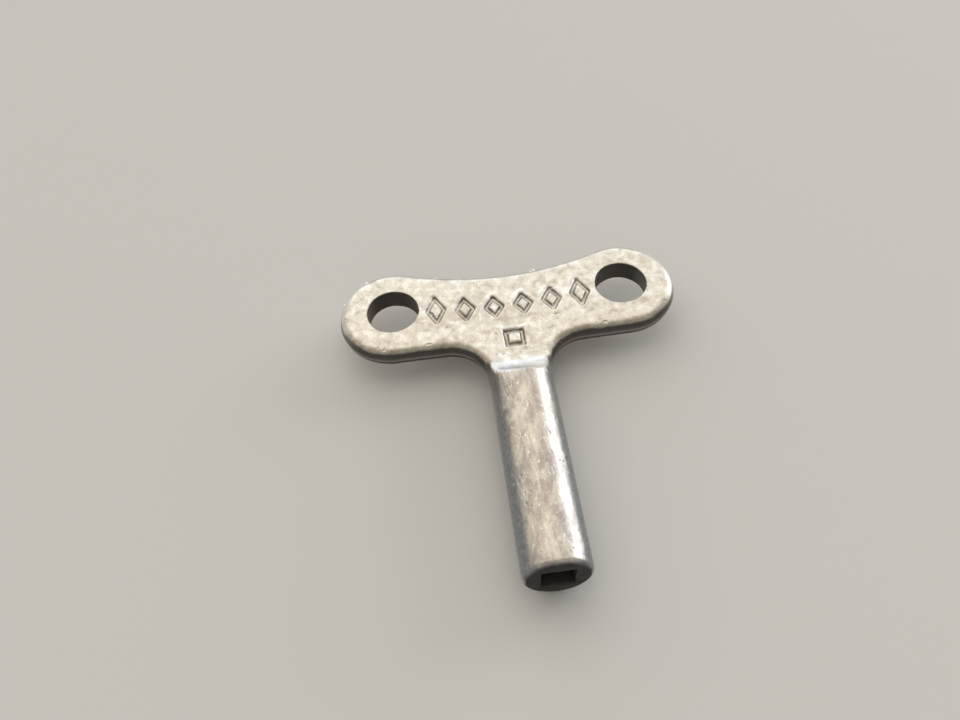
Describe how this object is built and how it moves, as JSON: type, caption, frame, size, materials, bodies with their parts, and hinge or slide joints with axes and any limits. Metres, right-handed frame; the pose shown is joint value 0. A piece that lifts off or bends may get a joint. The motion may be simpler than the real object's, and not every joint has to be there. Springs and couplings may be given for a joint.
{
  "type": "winding key",
  "caption": "Winged key with a round barrel and a blind square socket, pushed on to a small square spindle and turned by hand; an eye in each wing takes a ring or cord.",
  "frame": {"origin": "centre of the square socket's mouth, in the plane of the barrel's end face", "axes": "+Y from the mouth up the barrel to the bow, +X across the bow from eye to eye, +Z out of the bow's marked face; the key lies flat with its parting plane on Z = 0"},
  "size_m": [0.0358, 0.0368, 0.0064],
  "materials": {
    "cast_metal": "as-cast matte grey metal, worn brighter on the edges and along the barrel"
  },
  "bodies": {
    "root": {"bow": "cast_metal", "barrel": "cast_metal"}
  },
  "joints": []
}
